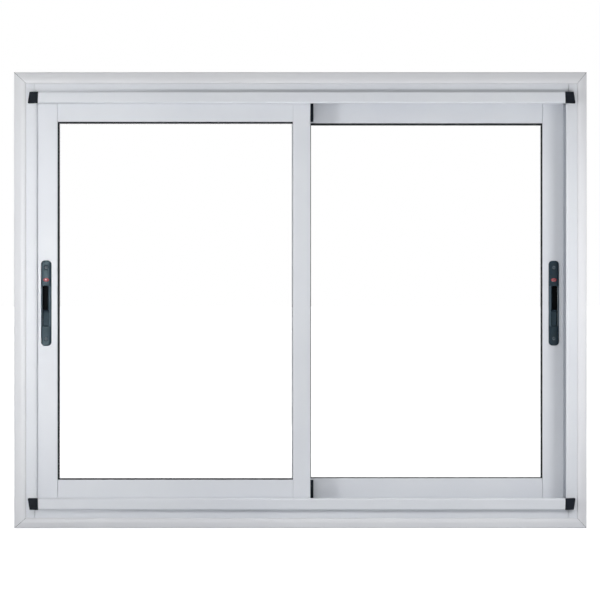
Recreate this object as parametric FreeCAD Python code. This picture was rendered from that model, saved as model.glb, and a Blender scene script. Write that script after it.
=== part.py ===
"""Horizontal sliding window: an aluminium frame with two tracks and two glazed sashes on rollers.

Millimetres. X runs along the window, Y from the room to the outside and Z up.
The origin is the centre of the sill's underside.
"""
import FreeCAD, Part
import math
import os

# Frame over its outer faces
frame_width = 1158.0
frame_height = 914.0
wall = 1.6

# Two tracks side by side
track_spacing = 38.0
sash_depth = 25.0
run_clearance = 5.0
rail_thickness = 2.5
rail_height = 16.0
guide_height = 18.0

# Sill and head, one hollow profile that is turned over for the head
sill_box = 20.0
room_lip = 43.5
outside_lip = 35.0
nose_height = 24.0
nose_depth = 9.4
nose_radius = 3.2
drain_length = 26.0
drain_height = 5.0
drain_spacing = 380.0

# Jambs
jamb_lip = 25.0
jamb_joint = 19.5
joint_gap = 0.8
bead_width = 6.5
bead_rise = 1.2
upstand = 15.4
fixing_hole = 5.5
fixing_far = 268.0
fixing_near = 172.0

# Trim that is clipped round the frame
trim_bottom_width = 19.9
trim_right_width = 18.4
trim_top_width = 22.1
trim_left_width = 23.6
trim_rise = 0.8
trim_crown = 1.2
trim_crown_place = 0.35
trim_crown_radius = 25.0
trim_slope = 1.8
trim_round = 3.0
trim_return = 9.1
clip_gap = 0.3
mitre_gap = 0.3

# Corner caps on the ends of the noses
cap_length = 16.5
cap_flare = 2.5
cap_proud = 0.6
cap_radius = 1.4
spigot_length = 9.0

# Sashes
foot_gap = 8.5
side_gap = 7.4
handle_stile_width = 58.0
stile_leg = 13.0
leg_setback = 5.0
meeting_stile_width = 36.8
sash_rail_height = 52.9
edge_radius = 1.2
pocket_depth = 14.0
fin_depth = 5.0
notch_width = 16.0
seam = 0.5
rear_opening = 2.4

# Glazing
pane = 4.0
unit_thickness = 16.0
glass_bite = 11.0
spacer_inset = 2.0
spacer_width = 7.0
gasket_bite = 9.0
wide_lip = 4.6
narrow_lip = 2.0
lip_slope = 0.6

# Rollers and guides
wheel_radius = 10.0
wheel_width = 8.0
wheel_groove = 1.5
axle_radius = 2.0
carriage_length = 62.0
carriage_inset = 95.0
guide_length = 40.0
running_gap = 0.35
fit_gap = 0.3

# Flush handle with its latch slider
handle_length = 179.0
handle_width = 22.0
handle_height = 452.0
handle_inset = 34.2
handle_proud = 2.0
handle_radius = 8.0
trough_width = 13.0
trough_depth = 14.0
trough_radius = 2.6
trough_inset = 40.6
insert_margin = 10.0
shell = 1.2
slider_length = 34.5
slider_proud = 1.0
ridge_share = 0.14
ridge_radius = 0.8
indicator_width = 14.0
indicator_height = 8.0
indicator_inset = 40.5
indicator_gap = 12.8
indicator_depth = 0.5
screw_hole = 4.2
screw_inset = 14.5

# Black end blocks and pile strips
block_width = 6.4
block_length = 49.0
block_reach = 8.0
pile_width = 5.0
pile_clear = 0.5

# Worked out from the sizes above
frame_depth = track_spacing + sash_depth + 2 * run_clearance + 2 * wall
half_width = frame_width / 2
half_depth = frame_depth / 2
mid_height = frame_height / 2
inner_depth = half_depth - wall
track = track_spacing / 2
rebate = trim_return - half_depth
rail_top = sill_box + rail_height
guide_tip = frame_height - sill_box - guide_height
half_sash = sash_depth / 2
half_inside = half_sash - wall
sash_bottom = sill_box + foot_gap
sash_top = frame_height - sash_bottom
sight_bottom = sash_bottom + sash_rail_height
sight_top = sash_top - sash_rail_height
stile_outer = half_width - wall - side_gap
stile_face = stile_outer - stile_leg
stile_sight = stile_outer - handle_stile_width
half_meeting = meeting_stile_width / 2
indicator_above = handle_length / 2 - indicator_inset
trough_above = indicator_above - indicator_gap
trough_below = handle_length / 2 - trough_inset
screw_offset = handle_length / 2 - screw_inset
far = 2 * frame_width


def in_yz(a, b):
    """Plane of a profile that runs along X."""
    return FreeCAD.Vector(0, a, b)


def in_xy(a, b):
    """Plane of a profile that runs along Z."""
    return FreeCAD.Vector(a, b, 0)


def in_xz(a, b):
    """Plane of an outline that is seen from the front."""
    return FreeCAD.Vector(a, 0, b)


def outline(points, plane):
    """Closed wire through (a, b) or (a, b, radius): a corner with a radius becomes a tangent arc."""
    corners = []
    count = len(points)
    for index, point in enumerate(points):
        here = plane(point[0], point[1])
        before = plane(*points[index - 1][:2]) - here
        after = plane(*points[(index + 1) % count][:2]) - here
        if len(point) == 2:
            corners.append((here, here, here))
            continue
        before.normalize()
        after.normalize()
        half_angle = before.getAngle(after) / 2
        reach = point[2] / math.tan(half_angle)
        bisector = before + after
        bisector.normalize()
        middle = here + bisector * (point[2] / math.sin(half_angle) - point[2])
        corners.append((here + before * reach, middle, here + after * reach))
    edges = []
    for index, (start, middle, end) in enumerate(corners):
        if (end - start).Length > 1e-6:
            edges.append(Part.Arc(start, middle, end).toShape())
        following = corners[(index + 1) % count][0]
        if (following - end).Length > 1e-6:
            edges.append(Part.LineSegment(end, following).toShape())
    return Part.Wire(edges)


def extrusion(outer, holes, plane, start, end):
    """Profile with chambers, run from start to end along the normal of its plane."""
    wires = [outline(outer, plane)]
    wires += [outline(hole, plane) for hole in holes]
    face = Part.makeFace(wires, "Part::FaceMakerBullseye")
    direction = FreeCAD.Vector(1, 1, 1) - plane(1, 1)
    face.translate(direction * start)
    return face.extrude(direction * (end - start))


def block(x0, x1, y0, y1, z0, z1):
    """Box between two corners, given in any order."""
    low = FreeCAD.Vector(min(x0, x1), min(y0, y1), min(z0, z1))
    return Part.makeBox(abs(x1 - x0), abs(y1 - y0), abs(z1 - z0), low)


def rectangle(a0, a1, b0, b1, radius=0):
    """Corners of a rectangle, rounded where a radius is given."""
    corners = [(a0, b0), (a1, b0), (a1, b1), (a0, b1)]
    return [corner + (radius,) for corner in corners] if radius else corners


def turned_over(shape):
    """The same piece at the head instead of the sill."""
    return shape.mirror(FreeCAD.Vector(0, 0, mid_height), FreeCAD.Vector(0, 0, 1))


def other_side(shape):
    """The same piece at the opposite end of the window."""
    return shape.mirror(FreeCAD.Vector(0, 0, 0), FreeCAD.Vector(1, 0, 0))


def track_profile(tip):
    """Sill section: hollow box, two rails up to tip, outside lip, room lip with its hollow nose."""
    rail = rail_thickness / 2
    top_round = 0.35 * rail_thickness
    lip_round = wall / 3
    nose_front = half_depth + nose_depth
    nose_bottom = room_lip - nose_height
    outer = [(rebate, 0), (half_depth, 0)]
    outer += [(half_depth, outside_lip, lip_round), (inner_depth, outside_lip, lip_round)]
    outer += [(inner_depth, sill_box)]
    for middle in (track, -track):
        outer += [(middle + rail, sill_box), (middle + rail, tip, top_round)]
        outer += [(middle - rail, tip, top_round), (middle - rail, sill_box)]
    outer += [(-inner_depth, sill_box), (-inner_depth, room_lip, lip_round)]
    outer += [(-nose_front, room_lip, nose_radius), (-nose_front, nose_bottom, nose_radius)]
    outer += [(-half_depth, nose_bottom), (-half_depth, wall), (rebate, wall)]
    nose_round = nose_radius - wall
    nose = [(-half_depth, nose_bottom + wall), (-half_depth, room_lip - wall)]
    nose += [(wall - nose_front, room_lip - wall, nose_round)]
    nose += [(wall - nose_front, nose_bottom + wall, nose_round)]
    room_chamber = [(-inner_depth, 2 * wall), (rebate + wall, 2 * wall), (rebate + wall, wall)]
    room_chamber += [(-track - wall / 2, wall), (-track - wall / 2, sill_box - wall)]
    room_chamber += [(-inner_depth, sill_box - wall)]
    middle_chamber = rectangle(wall / 2 - track, track - wall / 2, wall, sill_box - wall)
    outside_chamber = rectangle(track + wall / 2, inner_depth, wall, sill_box - wall)
    return outer, [nose, room_chamber, middle_chamber, outside_chamber]


def track_bar(tip):
    """Sill or head: its tongue runs on inside the jambs, its lips stop at the joint."""
    outer, chambers = track_profile(tip)
    tongue = half_width - wall
    bar = extrusion(outer, chambers, in_yz, -tongue, tongue)
    joint = half_width - jamb_joint
    nose_end = half_width - jamb_lip
    cuts = []
    for side in (-1, 1):
        lip_end = side * (joint - joint_gap)
        cuts.append(block(side * nose_end, side * far, -far, -half_depth, -far, far))
        cuts.append(block(lip_end, side * far, -far, -inner_depth, -far, far))
        cuts.append(block(lip_end, side * far, inner_depth, far, -far, far))
        corner = rebate + wall
        cuts.append(block(side * (tongue - wall), side * far, -far, corner, -far, far))
    return bar.cut(cuts)


def drain_slots():
    """Slots that let water out through the outside wall of the sill."""
    middle = sill_box / 2
    slots = []
    for offset in (-drain_spacing, 0, drain_spacing):
        ends = rectangle(
            offset - drain_length / 2,
            offset + drain_length / 2,
            middle - drain_height / 2,
            middle + drain_height / 2,
            0.49 * drain_height,
        )
        slots.append(extrusion(ends, [], in_xz, inner_depth - wall, half_depth + wall))
    return slots


def jamb():
    """Right jamb: web with a clip rebate, an upstand on each track, two lips and the room bead."""
    lip_end = half_width - jamb_lip
    web = half_width - wall
    tip = web - upstand
    lip_round = 0.35 * wall
    bead = half_depth + bead_rise
    section = [(half_width, rebate), (half_width, half_depth)]
    section += [(lip_end, half_depth, lip_round), (lip_end, inner_depth, lip_round)]
    section += [(web, inner_depth)]
    for middle in (track, -track):
        section += [(web, middle + wall / 2), (tip, middle + wall / 2)]
        section += [(tip, middle - wall / 2), (web, middle - wall / 2)]
    section += [(web, rebate + wall), (web - wall, rebate + wall), (web - wall, -inner_depth)]
    section += [(lip_end, -inner_depth, lip_round), (lip_end, -bead, bead_rise + wall / 4)]
    section += [(lip_end + bead_width, -half_depth), (web, -half_depth, lip_round)]
    section += [(web, rebate)]
    bar = extrusion(section, [], in_xy, 0, frame_height)
    joint = half_width - jamb_joint
    near_track = track + wall
    end_cuts = [
        block(0, joint, -far, 0, 0, room_lip),
        block(0, far, -far, -half_depth, 0, room_lip),
        block(0, joint, 0, far, 0, outside_lip),
        block(0, web, -near_track, near_track, 0, room_lip),
        block(0, far, -far, rebate, 0, wall),
    ]
    bar = bar.cut(end_cuts + [turned_over(cut) for cut in end_cuts])
    holes = []
    for offset in (-fixing_far, -fixing_near, fixing_near, fixing_far):
        start = FreeCAD.Vector(web - wall, 0, mid_height + offset)
        along = FreeCAD.Vector(1, 0, 0)
        holes.append(Part.makeCylinder(fixing_hole / 2, 3 * wall, start, along))
    return bar.cut(holes)


def trim_bar(half_length, distance, widths):
    """Clip-on trim along X, below the middle of the frame, mitred against its neighbours."""
    inner_edge = wall - clip_gap
    before, own, after = [width + inner_edge for width in widths]
    front = half_depth + trim_rise
    back = -rebate
    leg_end = back + clip_gap
    crown = (-front - trim_crown, trim_crown_place * own, trim_crown_radius)
    section = [(-leg_end, 0), (-front, 0, trim_crown), crown]
    section += [(trim_slope - front, own, trim_round), (-back, own), (-back, own - wall)]
    section += [(wall + trim_slope - front, own - wall), (wall - front, wall), (-leg_end, wall)]
    downward = [(point[0], -distance - point[1]) + point[2:] for point in section]
    reach = half_length + before + after
    bar = extrusion(downward, [], in_yz, -reach, reach)
    start = mitre_gap / 2 - half_length
    end = half_length - mitre_gap / 2
    mitred = [(start, -distance), (end, -distance)]
    mitred += [(end + after, -distance - own), (start - before, -distance - own)]
    return bar.common(extrusion(mitred, [], in_xz, -far, far))


def trims():
    """Four trims round the frame, anticlockwise from the bottom as seen from the room."""
    reach_x = half_width - wall + clip_gap
    reach_z = mid_height - wall + clip_gap
    sides = ["bottom", "right", "top", "left"]
    widths = [trim_bottom_width, trim_right_width, trim_top_width, trim_left_width]
    pieces = {}
    for index, name in enumerate(sides):
        lengths = (reach_z, reach_x) if index % 2 else (reach_x, reach_z)
        near = (widths[index - 1], widths[index], widths[(index + 1) % 4])
        bar = trim_bar(*lengths, near)
        bar.rotate(FreeCAD.Vector(0, 0, 0), FreeCAD.Vector(0, 1, 0), -90 * index)
        bar.translate(FreeCAD.Vector(0, 0, mid_height))
        pieces["trim_" + name] = bar
    return pieces


def corner_cap():
    """Cap at the bottom right: a flared cup over the jamb foot, with a spigot inside the nose."""
    start = half_width - jamb_lip
    low = room_lip - nose_height
    back = -half_depth
    front = back - nose_depth - cap_proud
    side = [(start, low), (start + cap_length, low)]
    side += [(start + cap_length + cap_flare, room_lip), (start, room_lip)]
    body = extrusion(side, [], in_xz, front, back)
    corners = [edge for edge in body.Edges if edge.BoundBox.YLength > wall]
    body = body.makeChamfer(cap_radius, corners)
    rim = [edge for edge in body.Edges if edge.BoundBox.YMax < front + 0.01]
    body = body.makeChamfer(cap_radius / 2, rim)
    inside = [(start + wall, low + wall), (start + cap_length - wall, low + wall)]
    inside += [(start + cap_length + cap_flare - wall, room_lip - wall)]
    inside += [(start + wall, room_lip - wall)]
    body = body.cut(extrusion(inside, [], in_xz, front + wall, back + wall))
    gap = wall + fit_gap
    spigot = block(
        start - spigot_length,
        start + wall / 2,
        back - nose_depth + gap,
        back - fit_gap,
        low + gap,
        room_lip - gap,
    )
    rim = [edge for edge in spigot.Edges if edge.BoundBox.XLength > wall]
    spigot = spigot.makeChamfer(nose_radius - wall, rim)
    return body.fuse(spigot).removeSplitter()


def end_notches(inner, outer):
    """Room at both ends of a stile for the rail below and the guide above."""
    side = notch_width / 2
    low_end = rail_top + run_clearance
    high_start = guide_tip - run_clearance
    low = block(inner, outer, -side, side, 0, low_end)
    high = block(inner, outer, -side, side, high_start, frame_height)
    return [low, high]


def handle_stile():
    """Outer stile: glazing pocket, chamber, and two legs that straddle the upstand of the jamb."""
    leg_outer = half_sash - leg_setback
    leg_inner = leg_outer - wall
    pocket = stile_sight + pocket_depth
    thin = wall / 4
    section = [(stile_sight, -half_sash, edge_radius), (stile_face, -half_sash, edge_radius)]
    section += [(stile_face, -leg_outer), (stile_outer, -leg_outer, thin)]
    section += [(stile_outer, -leg_inner, thin), (stile_face, -leg_inner)]
    section += [(stile_face, leg_inner), (stile_outer, leg_inner, thin)]
    section += [(stile_outer, leg_outer, thin), (stile_face, leg_outer)]
    section += [(stile_face, half_sash, edge_radius), (stile_sight, half_sash, edge_radius)]
    section += [(stile_sight, half_inside), (pocket, half_inside)]
    section += [(pocket, -half_inside), (stile_sight, -half_inside)]
    chamber = rectangle(pocket + wall, stile_face - wall, -half_inside, half_inside)
    bar = extrusion(section, [chamber], in_xy, sash_bottom, sash_top)
    cut_width = trough_width / 2 + shell + fit_gap
    cut_out = block(
        handle_x() - cut_width,
        handle_x() + cut_width,
        -half_sash - wall,
        -half_inside + wall / 2,
        handle_height - trough_below - insert_margin - fit_gap,
        handle_height + indicator_above + insert_margin + fit_gap,
    )
    return bar.cut(end_notches(0, far) + [cut_out])


def handle_x():
    """Middle of the handle across the stile."""
    return stile_outer - handle_inset


def meeting_stile(toward):
    """Inner stile: glazing pocket, chamber and a fin that points toward the other sash."""
    pocket = half_meeting - pocket_depth
    section = [(half_meeting, -toward * half_sash, edge_radius)]
    section += [(half_meeting, -toward * half_inside), (pocket, -toward * half_inside)]
    section += [(pocket, toward * half_inside), (half_meeting, toward * half_inside)]
    section += [(half_meeting, toward * half_sash, edge_radius)]
    section += [(wall - half_meeting, toward * half_sash)]
    section += [(wall - half_meeting, toward * (half_sash + fin_depth))]
    section += [(-half_meeting, toward * (half_sash + fin_depth))]
    section += [(-half_meeting, -toward * half_sash, edge_radius)]
    chamber = rectangle(wall - half_meeting, pocket - wall, -half_inside, half_inside)
    bar = extrusion(section, [chamber], in_xy, sash_bottom, sash_top)
    return bar.cut(end_notches(-far, far))


def sash_rail():
    """Bottom rail: glazing pocket above, and a channel below that rides over the track."""
    floor = sight_bottom - pocket_depth
    section = [(-half_sash, sash_bottom), (-half_sash, sight_bottom, edge_radius)]
    section += [(-half_inside, sight_bottom), (-half_inside, floor)]
    section += [(half_inside, floor), (half_inside, sight_bottom)]
    section += [(half_sash, sight_bottom, edge_radius), (half_sash, sash_bottom)]
    section += [(half_inside, sash_bottom), (half_inside, floor - wall)]
    section += [(-half_inside, floor - wall), (-half_inside, sash_bottom)]
    return extrusion(section, [], in_yz, half_meeting, stile_sight - seam)


def sight_outline(outside):
    """Outline of the glass opening, so far outside its sight line."""
    return rectangle(
        half_meeting - outside, stile_sight + outside, sight_bottom - outside, sight_top + outside
    )


def panes():
    """Two panes of the sealed unit."""
    sheets = []
    for side in (-1, 1):
        face = side * unit_thickness / 2
        back = side * (unit_thickness / 2 - pane)
        low, high = min(face, back), max(face, back)
        sheets.append(extrusion(sight_outline(glass_bite), [], in_xz, low, high))
    return Part.makeCompound(sheets)


def spacer():
    """Spacer bar between the panes, hidden in the pockets."""
    outside = glass_bite - spacer_inset
    cavity = unit_thickness / 2 - pane
    hole = sight_outline(outside - spacer_width)
    return extrusion(sight_outline(outside), [hole], in_xz, -cavity, cavity)


def gasket():
    """Rubber on both faces of the glass: its lip shows more at the handle stile and the top rail."""
    opening = (
        half_meeting + narrow_lip,
        stile_sight - wide_lip,
        sight_bottom + narrow_lip,
        sight_top - wide_lip,
    )
    rings = []
    for side in (-1, 1):
        face = side * half_inside
        glass_side = side * unit_thickness / 2
        low, high = min(face, glass_side), max(face, glass_side)
        outer = sight_outline(gasket_bite)
        strip = extrusion(outer, [rectangle(*opening)], in_xz, low, high)
        lip = []
        for edge in strip.Edges:
            box = edge.BoundBox
            at_face = box.YLength < 0.01 and abs(box.YMax - face) < 0.01
            across = box.XMin > opening[0] - 0.01 and box.XMax < opening[1] + 0.01
            if at_face and across:
                lip.append(edge)
        rings.append(strip.makeChamfer(lip_slope * (high - low), lip))
    return Part.makeCompound(rings)


def carriage(middle):
    """Roller carriage: a housing under the rail's floor and a grooved wheel, its axle in an open slot."""
    ceiling = sight_bottom - pocket_depth - wall
    side = half_inside - fit_gap
    groove_radius = wheel_radius - wheel_groove
    axle_z = rail_top + running_gap + groove_radius
    fork = wheel_width / 2 + fit_gap
    low = axle_z - 2 * axle_radius
    housing = block(
        middle - carriage_length / 2,
        middle + carriage_length / 2,
        -side,
        side,
        low,
        ceiling - fit_gap,
    )
    upright = [edge for edge in housing.Edges if edge.BoundBox.ZLength > 2 * wall]
    housing = housing.makeChamfer(edge_radius, upright)
    bay = wheel_radius + 2 * fit_gap
    housing = housing.cut(block(middle - bay, middle + bay, -fork, fork, 0, axle_z + bay))
    slot = rail_thickness / 2 + running_gap
    housing = housing.cut(block(-far, far, -slot, slot, 0, rail_top + running_gap))
    across = FreeCAD.Vector(0, 1, 0)
    bearing = axle_radius + fit_gap
    housing = housing.cut(block(middle - bearing, middle + bearing, -far, far, 0, axle_z + bearing))
    axle_start = FreeCAD.Vector(middle, -side, axle_z)
    axle = Part.makeCylinder(axle_radius, 2 * side, axle_start, across)
    half_rim = wheel_width / 2
    flat = rail_thickness / 2 + running_gap
    rim = [(0, -half_rim), (wheel_radius, -half_rim), (wheel_radius, -flat)]
    rim += [(groove_radius, -flat), (groove_radius, flat)]
    rim += [(wheel_radius, flat), (wheel_radius, half_rim), (0, half_rim)]
    disc = Part.Face(outline(rim, in_xy))
    wheel = disc.revolve(FreeCAD.Vector(0, 0, 0), across, 360)
    wheel.translate(FreeCAD.Vector(middle, 0, axle_z))
    return [housing, wheel.fuse(axle)]


def carriages():
    """Two carriages in the bottom rail of a sash."""
    pieces = []
    for middle in (half_meeting + carriage_inset, stile_sight - carriage_inset):
        pieces += carriage(middle)
    return Part.makeCompound(pieces)


def top_guides():
    """Nylon blocks in the top rail, slotted round the guide of the head."""
    floor = sight_top + pocket_depth + wall
    side = half_inside - fit_gap
    slot = rail_thickness / 2 + 2 * running_gap
    pieces = []
    for middle in (half_meeting + carriage_inset, stile_sight - carriage_inset):
        ends = (middle - guide_length / 2, middle + guide_length / 2)
        body = block(*ends, -side, side, floor + fit_gap, sash_top - fit_gap)
        gap = block(*ends, -slot, slot, guide_tip - run_clearance, frame_height)
        pieces.append(body.cut(gap))
    return Part.makeCompound(pieces)


def handle_case():
    """Flush pull: rounded plate on the stile, moulded trough behind it, window for the indicator."""
    middle = handle_x()
    face = -half_sash - handle_proud
    plate = rectangle(
        middle - handle_width / 2,
        middle + handle_width / 2,
        handle_height - handle_length / 2,
        handle_height + handle_length / 2,
        handle_radius,
    )
    case = extrusion(plate, [], in_xz, face, -half_sash)
    rim = [edge for edge in case.Edges if edge.BoundBox.YMax < face + 0.01]
    case = case.makeChamfer(handle_proud / 2, rim)
    insert_half = trough_width / 2 + shell
    insert = block(
        middle - insert_half,
        middle + insert_half,
        -half_sash - handle_proud / 2,
        face + trough_depth + shell,
        handle_height - trough_below - insert_margin,
        handle_height + indicator_above + insert_margin,
    )
    case = case.fuse(insert).removeSplitter()
    case = case.cut(trough_prism(0, face - wall, face + trough_depth))
    case = case.cut(indicator_prism(0, face - wall, face + handle_proud + shell))
    for offset in (-screw_offset, screw_offset):
        start = FreeCAD.Vector(middle, face - wall, handle_height + offset)
        across = FreeCAD.Vector(0, 1, 0)
        hole = Part.makeCylinder(screw_hole / 2, 2 * wall + handle_proud, start, across)
        case = case.cut(hole)
    return case


def trough_prism(gap, y0, y1):
    """Rounded outline of the finger trough, smaller all round by the gap."""
    middle = handle_x()
    trough = rectangle(
        middle - trough_width / 2 + gap,
        middle + trough_width / 2 - gap,
        handle_height - trough_below + gap,
        handle_height + trough_above - gap,
        trough_radius - gap,
    )
    return extrusion(trough, [], in_xz, y0, y1)


def indicator_prism(gap, y0, y1):
    """Rounded outline of the indicator, smaller all round by the gap."""
    middle = handle_x()
    window = rectangle(
        middle - indicator_width / 2 + gap,
        middle + indicator_width / 2 - gap,
        handle_height + indicator_above - indicator_height / 2 + gap,
        handle_height + indicator_above + indicator_height / 2 - gap,
        indicator_height / 3 - gap,
    )
    return extrusion(window, [], in_xz, y0, y1)


def indicator():
    """Coloured lock indicator, set a little below the plate."""
    face = -half_sash - handle_proud
    return indicator_prism(fit_gap, face + indicator_depth, face + handle_proud + shell)


def latch_slider():
    """Thumb piece at the foot of the trough, with a raised upper edge."""
    middle = handle_x()
    face = -half_sash - handle_proud
    half = trough_width / 2 - fit_gap
    low = handle_height - trough_below + fit_gap
    high = low + slider_length
    floor = face + trough_depth - fit_gap
    ridge = ridge_share * slider_length
    dish = face + slider_proud
    dish_radius = 2 * slider_proud
    side = [(floor, low), (floor, high), (face - slider_proud, high, ridge_radius)]
    side += [(face - slider_proud, high - ridge, ridge_radius)]
    side += [(dish, high - 2 * ridge, dish_radius), (dish, low + ridge, dish_radius)]
    side += [(face, low, ridge_radius)]
    body = extrusion(side, [], in_yz, middle - half, middle + half)
    return body.common(trough_prism(fit_gap, -far, far))


def end_blocks(toward):
    """Moulded blocks at both ends of the meeting stile's free edge."""
    back = toward * (half_sash + block_reach)
    front = toward * (rail_thickness / 2 + run_clearance)
    low = extrusion(
        rectangle(-half_meeting - block_width, -half_meeting, min(front, back), max(front, back)),
        [],
        in_xy,
        sash_bottom + wall,
        sash_bottom + wall + block_length,
    )
    free = -half_meeting - block_width
    corners = []
    for edge in low.Edges:
        box = edge.BoundBox
        if box.XMax < free + 0.01:
            corners.append(edge)
    low = low.makeChamfer(edge_radius, corners)
    return Part.makeCompound([low, turned_over(low)])


def pile_strips(toward):
    """Pile on the face away from the other sash, and beside the upstand of the jamb."""
    height = run_clearance - pile_clear
    face = -toward * half_sash
    tip = face - toward * height
    low = sash_bottom + wall
    bottom = block(half_meeting, stile_sight, face, tip, low, low + pile_width)
    leg_inner = half_sash - leg_setback - wall
    reach = leg_inner - wall / 2 - pile_clear
    start = stile_outer - wall - pile_width
    upright = block(
        start,
        start + pile_width,
        -toward * leg_inner,
        -toward * (leg_inner - reach),
        rail_top + run_clearance,
        guide_tip - run_clearance,
    )
    return Part.makeCompound([bottom, turned_over(bottom), upright])


def sash(toward):
    """Every piece of a sash with its handle stile at +X and its middle plane at Y = 0."""
    return {
        "handle_stile": handle_stile(),
        "meeting_stile": meeting_stile(toward),
        "bottom_rail": sash_rail(),
        "top_rail": turned_over(sash_rail()),
        "glass": panes(),
        "spacer": spacer(),
        "gasket": gasket(),
        "rollers": carriages(),
        "top_guides": top_guides(),
        "handle_case": handle_case(),
        "lock_indicator": indicator(),
        "latch_slider": latch_slider(),
        "end_blocks": end_blocks(toward),
        "pile_strips": pile_strips(toward),
    }


def frame():
    """Every piece of the fixed frame."""
    pieces = {
        "frame_sill": track_bar(rail_top).cut(drain_slots()),
        "frame_head": turned_over(track_bar(frame_height - guide_tip)),
        "frame_jamb_right": jamb(),
        "frame_jamb_left": other_side(jamb()),
    }
    pieces.update(trims())
    cap = corner_cap()
    pieces["corner_cap_bottom_right"] = cap
    pieces["corner_cap_bottom_left"] = other_side(cap)
    pieces["corner_cap_top_right"] = turned_over(cap)
    pieces["corner_cap_top_left"] = turned_over(other_side(cap))
    return pieces


def window():
    """The window: room-side sash on the left, and outside sash on the right, a little open."""
    pieces = frame()
    for name, shape in sash(1).items():
        shape = other_side(shape)
        shape.translate(FreeCAD.Vector(0, -track, 0))
        pieces["front_" + name] = shape
    for name, shape in sash(-1).items():
        shape.translate(FreeCAD.Vector(-rear_opening, track, 0))
        pieces["rear_" + name] = shape
    return pieces


os.makedirs("parts", exist_ok=True)
for node, shape in window().items():
    shape.exportStep("parts/" + node + ".step")
    print(node, shape.ShapeType, len(shape.Solids), round(shape.Volume), shape.isValid())
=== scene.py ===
# %% [markdown]
# # Dressing a two-sash sliding window
#
# The window comes from CAD as plain solids with every size right: a frame with two tracks, clip-on trims,
# two glazed sashes and their handles. This lesson gives each of them its real finish, and replaces the few
# small parts that need softer shapes than the solids have, such as the moulded handle and the rubber
# gaskets. Everything is in metres, with X along the window, Y from the room to the outside and Z up.

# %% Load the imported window
import math

import bmesh
import bpy
import numpy as np
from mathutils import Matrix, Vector


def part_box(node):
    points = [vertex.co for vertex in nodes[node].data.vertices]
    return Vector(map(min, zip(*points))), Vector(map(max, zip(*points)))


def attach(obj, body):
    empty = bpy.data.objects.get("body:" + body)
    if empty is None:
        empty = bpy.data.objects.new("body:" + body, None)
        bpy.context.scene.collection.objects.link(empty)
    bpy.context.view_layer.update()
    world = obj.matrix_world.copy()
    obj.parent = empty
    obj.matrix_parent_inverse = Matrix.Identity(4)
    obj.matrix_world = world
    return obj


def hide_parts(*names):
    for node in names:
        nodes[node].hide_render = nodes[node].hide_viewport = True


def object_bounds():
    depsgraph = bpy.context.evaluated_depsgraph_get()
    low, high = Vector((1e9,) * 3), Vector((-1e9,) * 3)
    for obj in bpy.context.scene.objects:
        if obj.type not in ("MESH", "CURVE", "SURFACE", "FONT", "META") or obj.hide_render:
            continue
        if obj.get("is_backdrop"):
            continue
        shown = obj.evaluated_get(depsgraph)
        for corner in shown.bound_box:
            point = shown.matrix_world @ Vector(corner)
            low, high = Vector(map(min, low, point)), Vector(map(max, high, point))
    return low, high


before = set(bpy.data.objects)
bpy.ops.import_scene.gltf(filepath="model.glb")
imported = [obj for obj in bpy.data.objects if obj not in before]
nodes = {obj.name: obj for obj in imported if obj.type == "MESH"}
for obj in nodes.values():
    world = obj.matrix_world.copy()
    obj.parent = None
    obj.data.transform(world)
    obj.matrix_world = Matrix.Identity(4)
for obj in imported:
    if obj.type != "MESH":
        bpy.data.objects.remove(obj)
cad_low, cad_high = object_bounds()
print("window", len(nodes), "pieces, size in mm", [round(1000 * s) for s in cad_high - cad_low])

# %% [markdown]
# ## The camera
#
# The window was photographed from the room, straight on and from far away. That could be copied with an
# orthographic camera, but then the sides of the deep channels would not show as they do in a real picture.
# A long lens at 4.5 m keeps that slight perspective. The lens follows from the width that the picture
# covers at the plane of the trims.

# %% Camera
CAMERA_DISTANCE = 4.5
CAMERA_ASIDE, CAMERA_UP = -0.0008, 0.0005
PICTURE_WIDTH = 1.2565
SENSOR = 36.0
middle = (cad_low + cad_high) / 2
room_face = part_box("trim_left")[0].y

camera_data = bpy.data.cameras.new("camera")
camera_data.sensor_width = SENSOR
camera_data.lens = SENSOR * CAMERA_DISTANCE / PICTURE_WIDTH
camera = bpy.data.objects.new("camera", camera_data)
camera.location = (middle.x + CAMERA_ASIDE, room_face - CAMERA_DISTANCE, middle.z + CAMERA_UP)
camera.rotation_euler = (math.radians(90), 0, 0)
bpy.context.scene.collection.objects.link(camera)
bpy.context.scene.camera = camera
bpy.context.scene.view_settings.view_transform = "Standard"
print("lens in mm", round(camera_data.lens, 1))

# %% [markdown]
# ## Colours and shader nodes
#
# Colours are written as the hex codes that a screen shows. Blender mixes light in linear values, so one
# function turns each code into those. A second small function adds any shader node: plain values are set
# on its inputs, and outputs of other nodes are linked to them.


# %% Colour and node helpers
def linear(code):
    """Linear RGBA of an sRGB code: c / 12.92 up to 0.04045, and ((c + 0.055) / 1.055) ** 2.4 above it."""
    parts = np.array([int(code[i:i + 2], 16) for i in (0, 2, 4)]) / 255
    values = np.where(parts <= 0.04045, parts / 12.92, ((parts + 0.055) / 1.055) ** 2.4)
    return (*values.tolist(), 1.0)


def add(tree, kind, inputs=None, **settings):
    """Adds a node of that kind, with its settings, and sets or links its inputs."""
    node = tree.nodes.new("ShaderNode" + kind)
    for name, value in settings.items():
        setattr(node, name, value)
    for name, value in (inputs or {}).items():
        socket = node.inputs[name]
        if isinstance(value, bpy.types.NodeSocket):
            tree.links.new(value, socket)
        else:
            socket.default_value = value
    return node


def new_tree(name):
    """An empty material and its node tree."""
    material = bpy.data.materials.new(name)
    material.use_nodes = True
    material.node_tree.nodes.clear()
    return material, material.node_tree


def finish_tree(tree, shader):
    """Links a shader to the material's output."""
    add(tree, "OutputMaterial", {"Surface": shader})


print("white coat in linear values", [round(v, 3) for v in linear("E4E7EC")[:3]])

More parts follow.
